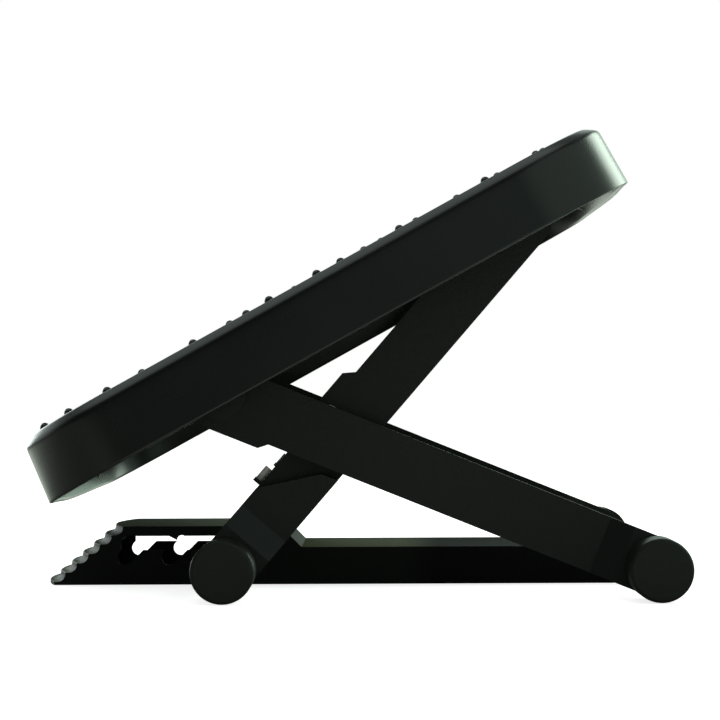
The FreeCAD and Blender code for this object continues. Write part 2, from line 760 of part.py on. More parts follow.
def make_tray():
    body = new_body("PlatformTray", tray_place)
    half = size["tray_width"] / 2
    wall = size["tray_wall"]
    long = size["tray_length"]
    outer = new_sketch(body, "XY_Plane", "TrayRim")
    rounded_outline(outer, 0, long, half, size["tray_corner"])
    shell = pad(body, outer, "TrayPad", "Sizes.tray_tall")
    shell.TaperAngle = -size["tray_draft"]
    doc.recompute()
    bevel_round(body, shell, "TrayBevel", size["tray_tall"])
    inner = new_sketch(body, "XY_Plane", "TrayHollowRim")
    rounded_outline(inner, wall, long - wall, half - wall, size["tray_corner"] - wall)
    hollow = pocket(body, inner, "TrayHollow", "Sizes.tray_tall - Sizes.tray_wall", reverse=True)
    hollow.TaperAngle = -size["tray_draft"]
    doc.recompute()
    bevel_round(body, hollow, "TrayInnerBevel", under)

    # ribs under the top, with a gusset down each end wall
    lean = math.tan(math.radians(size["tray_draft"]))
    low = size["gusset_rise"]
    bend = under - size["tray_bevel"]
    top = under + wall / 2
    deep = under - size["under_rib_deep"]
    run = wall + size["gusset_long"]
    corner_x = wall + under * lean + size["tray_bevel"]
    front = [(wall / 2 + low * lean, low), (run, deep)]
    back = [(wall / 2 + bend * lean, bend), (corner_x, top)]
    outline = front + [(long - x, z) for x, z in reversed(front)]
    outline += [(long - x, z) for x, z in back] + list(reversed(back))
    lengthwise = new_sketch(body, "XZ_Plane", "TrayRibSide",
                            "(Sizes.under_rib_count - 1) / 2 * Sizes.under_rib_pitch")
    draw(lengthwise, outline)
    rib = pad(body, lengthwise, "TrayRib", "Sizes.under_rib_thick", midplane=True)
    repeat(body, rib, "TrayRibs", "Y_Axis", "under_rib")
    span = (size["under_rib_count"] - 1) / 2 * size["under_rib_pitch"]
    across = new_sketch(body, "YZ_Plane", "TrayCrossRibSide", "Sizes.cross_rib_first")
    draw(across, [(-span, deep), (span, deep), (span, top), (-span, top)])
    cross = pad(body, across, "TrayCrossRib", "Sizes.under_rib_thick", midplane=True)
    repeat(body, cross, "TrayCrossRibs", "X_Axis", "cross_rib")

    # blind holes for the screws
    holes = new_sketch(body, "XY_Plane", "TrayHoles", "Sizes.tray_tall - Sizes.tray_wall")
    for x, y in BRACKET_SCREWS + TRACK_SCREWS:
        for side in (-1, 1):
            draw_circle(holes, x, side * y, SCREW_BORE)
    pocket(body, holes, "TrayScrewHoles",
           "Sizes.screw_length - Sizes.bracket_base + Sizes.seat_gap", reverse=True)
    return keep(body, "platform_tray")


def make_domes():
    """Low domes in staggered rows on the platform's top."""
    inset = size["tray_tall"] * math.tan(math.radians(size["tray_draft"])) + size["tray_bevel"]
    low_x = inset + size["dome_margin"]
    high_x = size["tray_length"] - low_x
    half = size["tray_width"] / 2 - low_x
    columns = int((high_x - low_x) / size["dome_pitch_long"])
    lines = int(2 * half / size["dome_pitch_wide"])
    step_x = (high_x - low_x) / columns
    step_y = 2 * half / lines
    tall = size["dome_tall"]
    ball = (size["dome_radius"] ** 2 + tall ** 2) / (2 * tall)
    bend = size["tray_corner"]
    solids = []
    for line in range(lines + 1):
        y = -half + step_y * line
        shift = step_x / 2 if line % 2 else 0
        for column in range(columns + 1):
            x = low_x + step_x * column + shift
            out_x = max(bend - x, x - size["tray_length"] + bend, 0)
            out_y = max(abs(y) - size["tray_width"] / 2 + bend, 0)
            if x > high_x or math.hypot(out_x, out_y) > bend - low_x:
                continue
            sphere = Part.makeSphere(ball, vector(x, y, size["tray_tall"] + tall - ball))
            block = Part.makeBox(4 * ball, 4 * ball, 4 * ball,
                                 vector(x - 2 * ball, y - 2 * ball, size["tray_tall"]))
            solids.append(sphere.common(block))
    group("Domes", "massage_domes", solids, tray_place)


def make_pivot_bracket():
    """Two ears under the platform that hold the outer leg's end."""
    body = new_body("PivotBracketLeft", tray_place)
    along = pivot_along
    rise = size["pivot_above_rim"]
    ear = size["ear_radius"]
    side = new_sketch(body, "XZ_Plane", "BracketSide", EAR_IN)
    draw(side, [
        (along - ear, rise, along, rise - ear),
        (along + ear, rise),
        (along + ear, seat),
        (along + bracket_half, seat),
        (along + bracket_half, under),
        (along - bracket_half, under),
        (along - bracket_half, seat),
        (along - ear, seat),
    ])
    pad(body, side, "BracketPad", "%s - %s" % (EAR_OUT, EAR_IN))
    slot = new_sketch(body, "XZ_Plane", "BracketSlot", OUTER_IN + " - Sizes.side_gap")
    draw(slot, [
        (along - bracket_half, rise - ear - size["overrun"]),
        (along + bracket_half, rise - ear - size["overrun"]),
        (along + bracket_half, seat),
        (along - bracket_half, seat),
    ])
    pocket(body, slot, "BracketGap", "Sizes.leg_thick + 2 * Sizes.side_gap", reverse=True)
    bore(body, "BracketBore", along, rise, ROD_BORE)
    drill(body, "Bracket", BRACKET_SCREWS)
    return keep(body, "pivot_bracket_left")


def drill(body, prefix, places):
    """Screw holes through a fitting's base."""
    holes = new_sketch(body, "XY_Plane", prefix + "Holes", "Sizes.tray_tall")
    for x, y in places:
        draw_circle(holes, x, -y, SCREW_BORE)
    pocket(body, holes, prefix + "ScrewHoles", "Sizes.tray_tall")


def make_track():
    """A channel under the platform that the slide rollers run in."""
    body = new_body("SlideTrackLeft", tray_place)
    low = size["glide_above_rim"] - track_side
    high = size["glide_above_rim"] + size["track_roller_radius"] + size["seat_gap"]
    left = track_start - size["track_end"]
    right = track_stop + size["track_end"]
    foot = low - size["track_lip"]
    side = new_sketch(body, "XZ_Plane", "TrackSide", TRACK_FACE)
    draw(side, [
        (left, foot),
        (right, foot),
        (right, under),
        (left - track_flange, under),
        (left - track_flange, seat),
        (left, seat),
    ])
    pad(body, side, "TrackPad", "%s + Sizes.track_back" % TRACK_DEEP)
    slot = new_sketch(body, "XZ_Plane", "TrackSlot", TRACK_FACE)
    draw(slot, [(track_start, low), (track_stop, low), (track_stop, high), (track_start, high)])
    pocket(body, slot, "TrackChannel", TRACK_DEEP, reverse=True)
    drill(body, "Track", TRACK_SCREWS)
    return keep(body, "slide_track_left")


def make_screws(name, label, places):
    """Pan-head screws, head down, that hold a fitting up under the platform."""
    solids = []
    for x, y in places:
        for side in (-1, 1):
            head = Part.makeCylinder(size["screw_head_radius"], size["screw_head_tall"],
                                     vector(x, side * y, seat - size["screw_head_tall"]))
            shank = Part.makeCylinder(size["screw_radius"], size["screw_length"],
                                      vector(x, side * y, seat))
            solids.append(head.fuse(shank))
    group(name, label, solids, tray_place)


# Build

make_ratchet_bar()
rod("CatchRod", "catch_rod", front_x, axle_z, "-" + HALF_BAR, HALF_BAR)
rod("RearAxle", "rear_axle", rear_x, axle_z, "-" + AXLE_END, AXLE_END)
clip_near = half_bar + size["seat_gap"]
clips = [ring_solid(size["clip_radius"], size["rod_radius"], side, clip_near, clip_near + size["clip_thick"])
         for side in (-1, 1)]
group("AxleClips", "axle_clips", clips, placed(rear_x, axle_z))

mirrored(make_outer_leg(), "OuterLegRight", "outer_leg_right")
ROD_END = "(%s - Sizes.leg_skin - Sizes.seat_gap)" % FACE_OUT
rod("ScissorRod", "scissor_rod", scissor_x, scissor_z, "-" + ROD_END, ROD_END)
washers = [ring_solid(size["leg_boss_radius"], size["rod_radius"] + size["run_fit"], side,
                      upper_out + size["run_fit"], outer_in - size["run_fit"])
           for side in (-1, 1)]
group("ScissorWashers", "scissor_washers", washers, placed(scissor_x, scissor_z))

mirrored(make_inner_leg(), "InnerLegRight", "inner_leg_right")
make_stop_pins()
STUB_IN = "(%s + Sizes.seat_gap)" % HALF_BAR
rod("FrontAxleLeft", "front_axle_left", front_x, axle_z, "-" + AXLE_END, "-" + STUB_IN)
rod("FrontAxleRight", "front_axle_right", front_x, axle_z, STUB_IN, AXLE_END)
front_roller = make_roller("FrontRollerLeft", "front_roller_left", front_x)
mirrored(front_roller, "FrontRollerRight", "front_roller_right")
rear_roller = make_roller("RearRollerLeft", "rear_roller_left", rear_x)
mirrored(rear_roller, "RearRollerRight", "rear_roller_right")

make_tray()
make_domes()
mirrored(make_pivot_bracket(), "PivotBracketRight", "pivot_bracket_right")
make_screws("BracketScrews", "bracket_screws", BRACKET_SCREWS)
mirrored(make_track(), "SlideTrackRight", "slide_track_right")
make_screws("TrackScrews", "track_screws", TRACK_SCREWS)
rod("TrayPivotRod", "tray_pivot_rod", pivot_x, pivot_z, "-" + EAR_OUT, EAR_OUT)
SLIDE_END = "(%s + %s - Sizes.side_gap)" % (TRACK_FACE, TRACK_DEEP)
rod("SlideRod", "slide_rod", glide_x, glide_z, "-" + SLIDE_END, SLIDE_END)
for side, label in ((-1, "left"), (1, "right")):
    near = track_face + size["side_gap"]
    ring = ring_solid(size["track_roller_radius"], size["rod_radius"] + size["run_fit"], side,
                      near, near + size["track_roller_length"])
    group("SlideRoller" + label.capitalize(), "slide_roller_" + label, [ring], placed(glide_x, glide_z))

doc.recompute()

for item in doc.Objects:
    if "Invalid" in item.State or "Error" in item.State:
        raise RuntimeError("failed feature: " + item.Name)
for item in parts:
    if item.Shape.isNull() or not item.Shape.isValid():
        raise RuntimeError("bad shape: " + item.Label)
os.makedirs("parts", exist_ok=True)
for item in parts:
    item.Shape.exportStep("parts/%s.step" % item.Label)
    print(item.Label, len(item.Shape.Solids), round(item.Shape.Volume))
print("tilt %.3f, folded turn %.3f, travel %.3f" % (
    math.degrees(tray_angle), math.degrees(front_turn + rear_turn), track_travel))
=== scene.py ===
import json
import math

import bpy
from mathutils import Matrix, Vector


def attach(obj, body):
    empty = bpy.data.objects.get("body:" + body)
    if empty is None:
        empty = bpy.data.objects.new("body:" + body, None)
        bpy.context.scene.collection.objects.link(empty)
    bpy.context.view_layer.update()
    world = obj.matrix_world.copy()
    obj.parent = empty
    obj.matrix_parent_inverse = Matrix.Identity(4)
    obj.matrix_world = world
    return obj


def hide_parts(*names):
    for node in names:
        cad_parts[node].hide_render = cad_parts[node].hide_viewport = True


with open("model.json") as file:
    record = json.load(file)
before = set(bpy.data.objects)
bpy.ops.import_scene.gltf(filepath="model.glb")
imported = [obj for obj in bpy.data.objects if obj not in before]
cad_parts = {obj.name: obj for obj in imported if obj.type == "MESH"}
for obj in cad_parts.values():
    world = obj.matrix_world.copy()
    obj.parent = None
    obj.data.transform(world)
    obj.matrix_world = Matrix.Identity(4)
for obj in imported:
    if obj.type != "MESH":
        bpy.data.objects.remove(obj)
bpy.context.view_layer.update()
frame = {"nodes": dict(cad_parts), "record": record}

MM = 0.001
nodes = frame["nodes"]

# Camera: the picture plane is parallel to the footrest's side

FRAME_PX = 720
SENSOR_MM = 36.0
FOCAL_PX = 3071.0
CENTRE_PX = (373.0, 393.0)
CAMERA_AT = (11.7 * MM, -1791.5 * MM, 107.9 * MM)
CAMERA_ROLL = 0.004
CAMERA_CLIP_END = 50.0


def make_camera():
    """The camera that took the photo, as far as the footrest's outlines give it."""
    data = bpy.data.cameras.new("camera")
    data.sensor_width = SENSOR_MM
    data.lens = FOCAL_PX / FRAME_PX * SENSOR_MM
    data.shift_x = 0.5 - CENTRE_PX[0] / FRAME_PX
    data.shift_y = CENTRE_PX[1] / FRAME_PX - 0.5
    data.clip_end = CAMERA_CLIP_END
    camera = bpy.data.objects.new("camera", data)
    camera.location = CAMERA_AT
    camera.rotation_euler = (math.pi / 2, CAMERA_ROLL, 0.0)
    bpy.context.scene.collection.objects.link(camera)
    bpy.context.scene.camera = camera


# Shader nodes

def new_material(name):
    """A material and its node tree."""
    material = bpy.data.materials.new(name)
    material.use_nodes = True
    return material, material.node_tree


def feed(tree, node, inputs):
    """Sets a node's inputs, each to a value or to another node's output."""
    for key, value in inputs.items():
        if isinstance(value, bpy.types.NodeSocket):
            tree.links.new(value, node.inputs[key])
        else:
            node.inputs[key].default_value = value


def add_node(tree, kind, inputs, **settings):
    """Adds a shader node with some of its properties and inputs set."""
    node = tree.nodes.new("ShaderNode" + kind)
    for key, value in settings.items():
        setattr(node, key, value)
    feed(tree, node, inputs)
    return node


def combine(tree, operation, *values):
    """The result of a math node on two or three values or outputs."""
    return add_node(tree, "Math", dict(enumerate(values)), operation=operation).outputs[0]


def mix_colours(tree, share, first, second):
    """A colour between two colours or outputs."""
    mixed = add_node(tree, "Mix", {"Factor": share, "A": first, "B": second}, data_type="RGBA")
    return mixed.outputs["Result"]


def spread(tree, value, low, high):
    """A value from 0 to 1 brought to another range."""
    return add_node(tree, "MapRange", {"Value": value, "To Min": low, "To Max": high}).outputs["Result"]


def ramp_towards(tree, vector, heading, start, end, low, high):
    """A value that goes softly from low to high as a vector reaches from start to end along a heading."""
    share = add_node(tree, "VectorMath", {0: vector, 1: heading}, operation="DOT_PRODUCT")
    ramp = add_node(tree, "MapRange", {
        "Value": share.outputs["Value"],
        "From Min": start,
        "From Max": end,
        "To Min": low,
        "To Max": high,
    }, interpolation_type="SMOOTHSTEP")
    return ramp.outputs["Result"]


def bump(tree, height, strength, distance):
    """The normal that a height gives."""
    node = add_node(tree, "Bump", {"Strength": strength, "Distance": distance, "Height": height})
    return node.outputs["Normal"]


def shades(colour, share):
    """A colour made lighter or darker by a share, with its alpha."""
    return [c * share for c in colour] + [1.0]


# World: a ramp holds its heading, its start and end along it, and its low and high value

WHITE = (1.0, 1.0, 1.0, 1.0)
BACKDROP_STRENGTH = 1.0
FILL_COLOUR = (0.96, 1.0, 0.98, 1.0)
FILL_STRENGTH = 0.42
REAR_WALL_RAMP = ((0.0, 1.0, 0.0), -0.15, 0.5, 0.015, 1.0)
WALL_HEIGHT_RAMP = ((0.0, 0.0, 1.0), 0.35, 0.6, 1.0, 0.2)
CEILING_RAMP = ((-0.35, 0.05, 0.93), 0.8, 0.96, 0.0, 1.0)
BESIDE_RAMP = ((0.75, -0.6, 0.3), 0.5, 0.85, 0.0, 0.55)
TINT_RAMP = ((-0.5, 0.0, 0.85), -0.1, 0.5, 0.0, 1.0)
LOW_TINT = (0.74, 1.0, 0.80, 1.0)
HIGH_TINT = (0.86, 1.0, 0.97, 1.0)


def make_world():
    """White behind the object, a dark studio in front for gloss, and a soft fill for diffuse light."""
    world = bpy.data.worlds.new("studio")
    bpy.context.scene.world = world
    world.use_nodes = True
    tree = world.node_tree
    tree.nodes.clear()
    path = add_node(tree, "LightPath", {})
    ray = add_node(tree, "TexCoord", {}).outputs["Generated"]

    wall = ramp_towards(tree, ray, *REAR_WALL_RAMP)
    height = ramp_towards(tree, ray, *WALL_HEIGHT_RAMP)
    ceiling = ramp_towards(tree, ray, *CEILING_RAMP)
    beside = ramp_towards(tree, ray, *BESIDE_RAMP)
    studio = combine(tree, "MULTIPLY_ADD", wall, height, combine(tree, "ADD", ceiling, beside))
    tint = mix_colours(tree, ramp_towards(tree, ray, *TINT_RAMP), LOW_TINT, HIGH_TINT)

    backdrop = add_node(tree, "Background", {"Color": WHITE, "Strength": BACKDROP_STRENGTH})
    gloss = add_node(tree, "Background", {"Color": tint, "Strength": studio})
    fill = add_node(tree, "Background", {"Color": FILL_COLOUR, "Strength": FILL_STRENGTH})
    in_gloss = path.outputs["Is Glossy Ray"]
    lit = add_node(tree, "MixShader", {"Fac": in_gloss, 1: fill.outputs[0], 2: gloss.outputs[0]})
    clear = combine(tree, "MAXIMUM", path.outputs["Is Camera Ray"], path.outputs["Is Transmission Ray"])
    shown = add_node(tree, "MixShader", {"Fac": clear, 1: lit.outputs[0], 2: backdrop.outputs[0]})
    add_node(tree, "OutputWorld", {"Surface": shown.outputs[0]})


# Floor: white to the camera, with painted bright and dark reflections that only gloss rays see, where it
# glows though it is no lamp

FLOOR_REACH = 6.0
FLOOR_DROP = 0.4 * MM
FLOOR_ROUGHNESS = 0.8
FLOOR_COLOUR = (0.93, 0.93, 0.93, 1.0)
FLOOR_PAINTED_DARK_REFLECTION = (0.22, 0.24, 0.2, 1.0)
FLOOR_GLOW = 0.8
FLOOR_PAINTED_REFLECTION_TINT = (0.90, 1.0, 0.88, 1.0)
# Where the painted bright reflections lie on the floor: behind, to the left, near the camera, fading out
# far left
FLOOR_BEHIND_RAMP = ((0.0, 1.0, 0.0), -0.1, 0.35, 0.0, 0.25)
FLOOR_LEFT_RAMP = ((-0.9, 0.45, 0.0), 0.22, 0.34, 0.0, 0.8)
FLOOR_NEAR_RAMP = ((0.0, -1.0, 0.0), 0.38, 0.7, 0.0, 0.6)
FLOOR_FAR_LEFT_RAMP = ((-1.0, 0.0, 0.0), 0.38, 0.52, 1.0, 0.07)


def make_floor():
    """A white floor that keeps the soft shadow, with painted bright and dark reflections for gloss rays.
    """
    mesh = bpy.data.meshes.new("floor")
    corners = [(x * FLOOR_REACH, y * FLOOR_REACH, 0) for x, y in ((-1, -1), (1, -1), (1, 1), (-1, 1))]
    mesh.from_pydata(corners, [], [(0, 1, 2, 3)])
    floor = bpy.data.objects.new("floor", mesh)
    floor.location.z = -FLOOR_DROP
    bpy.context.scene.collection.objects.link(floor)

    material, tree = new_material("floor_white")
    path = add_node(tree, "LightPath", {})
    in_gloss = path.outputs["Is Glossy Ray"]
    spot = add_node(tree, "NewGeometry", {}).outputs["Position"]
    # Painted reflection: for gloss rays the floor glows in these patches and is darker elsewhere
    behind = ramp_towards(tree, spot, *FLOOR_BEHIND_RAMP)
    left = ramp_towards(tree, spot, *FLOOR_LEFT_RAMP)
    near = ramp_towards(tree, spot, *FLOOR_NEAR_RAMP)
    bright = combine(tree, "ADD", combine(tree, "ADD", behind, left), near)
    bright = combine(tree, "MULTIPLY", bright, ramp_towards(tree, spot, *FLOOR_FAR_LEFT_RAMP))
    painted_reflection_glow = combine(tree, "MULTIPLY", in_gloss, bright)
    glow = combine(tree, "MULTIPLY_ADD", path.outputs["Is Camera Ray"], FLOOR_GLOW, painted_reflection_glow)
    feed(tree, tree.nodes["Principled BSDF"], {
        "Roughness": FLOOR_ROUGHNESS,
        "Base Color": mix_colours(tree, in_gloss, FLOOR_COLOUR, FLOOR_PAINTED_DARK_REFLECTION),
        "Emission Color": mix_colours(tree, in_gloss, WHITE, FLOOR_PAINTED_REFLECTION_TINT),
        "Emission Strength": glow,
    })
    floor.data.materials.append(material)


# Lamps: place, width and height in metres, watts, colour, and whether gloss shows them

LAMPS = {
    "key": ((-0.3, -1.5, 1.9), 1.2, 1.2, 9.0, (0.98, 1.0, 0.99), False),
    "right_back": ((1.25, 1.05, 0.95), 0.9, 0.9, 15.0, (0.84, 1.0, 0.86), True),
    "left_back": ((-1.0, 1.6, 0.4), 0.9, 0.7, 6.0, (0.93, 1.0, 0.98), True),
}
LAMPS_AIM = (0.0, 0.0, 0.12)


def make_lights():
    """Soft lamps that the camera doesn't see, all aimed at the footrest's middle."""
    for name, (place, width, tall, power, tint, in_gloss) in LAMPS.items():
        data = bpy.data.lights.new(name, "AREA")
        data.shape = "RECTANGLE"
        data.size = width
        data.size_y = tall
        data.energy = power
        data.color = tint
        lamp = bpy.data.objects.new(name, data)
        lamp.location = place
        lamp.rotation_euler = (Vector(LAMPS_AIM) - Vector(place)).to_track_quat("-Z", "Y").to_euler()
        lamp.visible_camera = False
        lamp.visible_glossy = in_gloss
        bpy.context.scene.collection.objects.link(lamp)


# Plastic

PLASTIC_IOR = 1.5
CLOUD_SCALE = 14.0
CLOUD_DETAIL = 4.0
CLOUD_STOP_SHARES = (0.3, 0.75)
RUB_START = 0.53
RUB_END = 0.62
RUBBED_SHARE = 2.1
PLASTIC_SMOOTHER = 0.05
PLASTIC_ROUGHER = 0.07
GRAIN_DETAIL = 3.0
GRAIN_ROUGHNESS = 0.6
PIT_SHARE = 0.6
PLASTIC_BUMP = 0.15 * MM
LEVEL_FACE_RAMP = ((0.0, 0.0, 1.0), 0.9, 0.99, 0.0, 1.0)
# Painted light on the bar: a lit colour on its top reaches this far rearward, and behind that the gloss
# drops as painted shade under the legs
REARWARD = (1.0, 0.0, 0.0)
PAINTED_LIGHT_FADES_FROM = 0.024
PAINTED_LIGHT_ENDS = 0.05
PAINTED_SHADE_GLOSS_SHARE = 0.2


def clouded(tree, cloud, colour, mottling):
    """A colour between a darker and a lighter shade of itself, as a noise says."""
    tint = add_node(tree, "ValToRGB", {"Fac": cloud})
    for stop, place, side in zip(tint.color_ramp.elements, CLOUD_STOP_SHARES, (-1, 1)):
        stop.position = place
        stop.color = shades(colour, 1 + side * mottling)
    return tint.outputs["Color"]


def rubbed(tree, base, pointiness, colour, edge_wear):
    """A base colour that is lighter on the edges."""
    rub = add_node(tree, "MapRange", {
        "Value": pointiness,
        "From Min": RUB_START,
        "From Max": RUB_END,
        "To Max": edge_wear,
    })
    return mix_colours(tree, rub.outputs["Result"], base, shades(colour, RUBBED_SHARE))


def grain_normal(tree, place, grain_mm, grain_height):
    """The normal of a surface with fine grain and pits."""
    grain = add_node(tree, "TexNoise", {
        "Vector": place,
        "Scale": 1.0 / (grain_mm * MM),
        "Detail": GRAIN_DETAIL,
        "Roughness": GRAIN_ROUGHNESS,
    })
    pits = add_node(tree, "TexVoronoi", {"Vector": place, "Scale": PIT_SHARE / (grain_mm * MM)})
    height = combine(tree, "ADD", grain.outputs["Fac"], pits.outputs["Distance"])
    return bump(tree, height, grain_height, PLASTIC_BUMP)


def plastic(name, colour, roughness, gloss, grain_mm, grain_height, mottling, edge_wear=0.25,
            painted_top_light=None):
    """Moulded plastic: fine grain, faint clouding and slightly rubbed edges.

    The last argument is painted light: its colour is painted on the level faces of the front part as a
    lit top, and the rear part is made duller as painted shade under the legs.
    """
    material, tree = new_material(name)
    place = add_node(tree, "TexCoord", {}).outputs["Object"]
    surface = add_node(tree, "NewGeometry", {})
    noise = add_node(tree, "TexNoise", {"Vector": place, "Scale": CLOUD_SCALE, "Detail": CLOUD_DETAIL})
    cloud = noise.outputs["Fac"]
    tint = clouded(tree, cloud, colour, mottling)
    base = rubbed(tree, tint, surface.outputs["Pointiness"], colour, edge_wear)
    specular = gloss
    # Painted light: a lit colour painted on the level top faces at the front, and painted shade as lower
    # gloss at the rear
    if painted_top_light:
        level = ramp_towards(tree, surface.outputs["Normal"], *LEVEL_FACE_RAMP)
        painted_lit_part = ramp_towards(tree, place, REARWARD, PAINTED_LIGHT_FADES_FROM, PAINTED_LIGHT_ENDS, 1.0, 0.0)
        base = mix_colours(tree, combine(tree, "MULTIPLY", level, painted_lit_part), base, painted_top_light)
        specular = ramp_towards(tree, place, REARWARD, PAINTED_LIGHT_FADES_FROM, PAINTED_LIGHT_ENDS,
                                gloss, gloss * PAINTED_SHADE_GLOSS_SHARE)
    feed(tree, tree.nodes["Principled BSDF"], {
        "IOR": PLASTIC_IOR,
        "Specular IOR Level": specular,
        "Base Color": base,
        "Roughness": spread(tree, cloud, roughness - PLASTIC_SMOOTHER, roughness + PLASTIC_ROUGHER),
        "Normal": grain_normal(tree, place, grain_mm, grain_height),
    })
    return material


# Metal

LINE_STRETCH = (1.0, 0.03, 1.0)
LINE_DETAIL = 4.0
LINE_HEIGHT = 0.25
METAL_BUMP = 0.05 * MM
METAL_SMOOTHER = 0.08
METAL_ROUGHER = 0.1
STAIN_SCALE = 60.0
STAIN_DETAIL = 5.0
STAIN_SHARES = (0.8, 1.08)


def metal(name, colour, roughness, line_mm):
    """Drawn or turned steel with fine lines and faint staining."""
    material, tree = new_material(name)
    place = add_node(tree, "TexCoord", {}).outputs["Object"]
    stretch = add_node(tree, "Mapping", {"Vector": place, "Scale": LINE_STRETCH})
    noise = add_node(tree, "TexNoise", {
        "Vector": stretch.outputs["Vector"],
        "Scale": 1.0 / (line_mm * MM),
        "Detail": LINE_DETAIL,
    })
    lines = noise.outputs["Fac"]
    stain = add_node(tree, "TexNoise", {"Vector": place, "Scale": STAIN_SCALE, "Detail": STAIN_DETAIL})
    tint = add_node(tree, "ValToRGB", {"Fac": stain.outputs["Fac"]})
    for stop, share in zip(tint.color_ramp.elements, STAIN_SHARES):
        stop.color = shades(colour, share)
    feed(tree, tree.nodes["Principled BSDF"], {
        "Metallic": 1.0,
        "Base Color": tint.outputs["Color"],
        "Roughness": spread(tree, lines, roughness - METAL_SMOOTHER, roughness + METAL_ROUGHER),
        "Normal": bump(tree, lines, LINE_HEIGHT, METAL_BUMP),
    })
    return material


MATERIALS = {
    "tray_plastic": plastic("tray_plastic", (0.0052, 0.0060, 0.0058), roughness=0.27, gloss=0.5,
                            grain_mm=0.35, grain_height=0.10, mottling=0.12),
    "leg_plastic": plastic("leg_plastic", (0.0060, 0.0070, 0.0064), roughness=0.42, gloss=0.25,
                           grain_mm=0.7, grain_height=0.35, mottling=0.3),
    # The bar's last colour is a painted highlight on its top faces, not dust
    "bar_plastic": plastic("bar_plastic", (0.0042, 0.0048, 0.0042), roughness=0.60, gloss=0.22,
                           grain_mm=0.45, grain_height=0.3, mottling=0.15,
                           painted_top_light=(0.060, 0.068, 0.018, 1.0)),
    "roller_plastic": plastic("roller_plastic", (0.0080, 0.0100, 0.0074), roughness=0.42, gloss=0.28,
                              grain_mm=0.4, grain_height=0.22, mottling=0.12),
    "slider_plastic": plastic("slider_plastic", (0.62, 0.61, 0.56), roughness=0.4, gloss=0.5,
                              grain_mm=0.5, grain_height=0.12, mottling=0.04, edge_wear=0.0),
    "bracket_plastic": plastic("bracket_plastic", (0.0050, 0.0060, 0.0055), roughness=0.42, gloss=0.3,
                               grain_mm=0.5, grain_height=0.3, mottling=0.15),
    "zinc_steel": metal("zinc_steel", (0.66, 0.66, 0.63), roughness=0.32, line_mm=0.25),
    "screw_steel": metal("screw_steel", (0.07, 0.07, 0.072), roughness=0.4, line_mm=0.3),
}
NODE_SLOT = {part["node"]: part["material_slot"] for part in frame["record"]["subparts"]}
NODE_LOOK = {"ledge_pins": "slider_plastic"}

# Edge rounding of the CAD nodes: widths in millimetres

EDGE_ROUND = {
    "outer_leg_left": 1.6,
    "outer_leg_right": 1.6,
    "inner_leg_left": 1.6,
    "inner_leg_right": 1.6,
    "ratchet_bar": 0.5,
    "pivot_bracket_left": 0.5,
    "pivot_bracket_right": 0.5,
    "slide_track_left": 0.4,
    "slide_track_right": 0.4,
    "front_roller_left": 0.4,
    "front_roller_right": 0.4,
    "rear_roller_left": 0.4,
    "rear_roller_right": 0.4,
    "rear_axle": 0.3,
    "scissor_rod": 0.3,
    "tray_pivot_rod": 0.3,
    "slide_rod": 0.3,
    "ledge_pins": 0.3,
}
EDGE_ROUND_SEGMENTS = 3
EDGE_ROUND_FROM = math.radians(35)


def dress_nodes():
    """Gives every CAD node its material, smooth shading and rounded edges."""
    for name, node in nodes.items():
        node.data.materials.clear()
        node.data.materials.append(MATERIALS[NODE_LOOK.get(name, NODE_SLOT[name])])
        for polygon in node.data.polygons:
            polygon.use_smooth = True
        if name in EDGE_ROUND:
            rounding = node.modifiers.new("edge_round", "BEVEL")
            rounding.width = EDGE_ROUND[name] * MM
            rounding.segments = EDGE_ROUND_SEGMENTS
            rounding.limit_method = "ANGLE"
            rounding.angle_limit = EDGE_ROUND_FROM
            rounding.harden_normals = True
            rounding.use_clamp_overlap = True


# Platform: the shell again with bowed ends and soft edges, in its own frame, in millimetres

TRAY_TILT = math.radians(28.849)
TRAY_RIM_X = -159.114
TRAY_RIM_Z = 49.717
TRAY_LONG = 350.0
TRAY_HALF = 225.5
TRAY_TALL = 36.0
TRAY_WALL = 3.0
TRAY_BEVEL = 4.3
TRAY_CORNER = 55.0
TRAY_LEAN = math.tan(math.radians(6.0))
BEVEL_START = TRAY_TALL - TRAY_BEVEL
UNDERSIDE = TRAY_TALL - TRAY_WALL
UNDER_BEVEL = UNDERSIDE - TRAY_BEVEL
UNDER_EDGE = TRAY_WALL + UNDERSIDE * TRAY_LEAN + TRAY_BEVEL

# How far the platform's ends are drawn in and bowed

FRONT_DRAWN_IN = 0.5
FRONT_BOW = 7.0
FRONT_BOW_HIGH = 4.0
REAR_DRAWN_IN = 1.0
REAR_WALL_OUT = 3.0
REAR_BOW = 6.0
TRAY_BOW_HALF = 185.0

# The platform's soft edges and the heights of its loops

SOFT_LOW = 2.4
SOFT_HIGH = 1.6
SOFT_STEPS = 5
RIM_ROUND = 0.8
RIM_CUT = RIM_ROUND * 0.3
RIM_LEVELS = (1.5, 2.2)
WALL_LEVELS = (6.0, 13.0, 20.0, 26.0)
CORNER_STEPS = 18
END_STEPS = 26
SHARP_FROM = math.radians(32)

# The ribs under the platform, with a gusset at each end of the long ones

RIB_DEEP = 8.0
RIB_THICK = 2.0
RIB_PITCH = 62.0
RIB_COUNT = 5
RIB_SPAN = (RIB_COUNT - 1) * RIB_PITCH
RIB_LOW = UNDERSIDE - RIB_DEEP
RIB_HIGH = UNDERSIDE + TRAY_WALL / 2
CROSS_RIBS = (75.0, 175.0, 275.0)
GUSSET_LONG = 24.0
GUSSET_RISE = 4.0


def from_tray(x, y, z):
    """A point of the platform's own frame as a point of the row frame."""
    along = TRAY_RIM_X + x * math.cos(TRAY_TILT) - z * math.sin(TRAY_TILT)
    rise = TRAY_RIM_Z + x * math.sin(TRAY_TILT) + z * math.cos(TRAY_TILT)
    return along * MM, y * MM, rise * MM


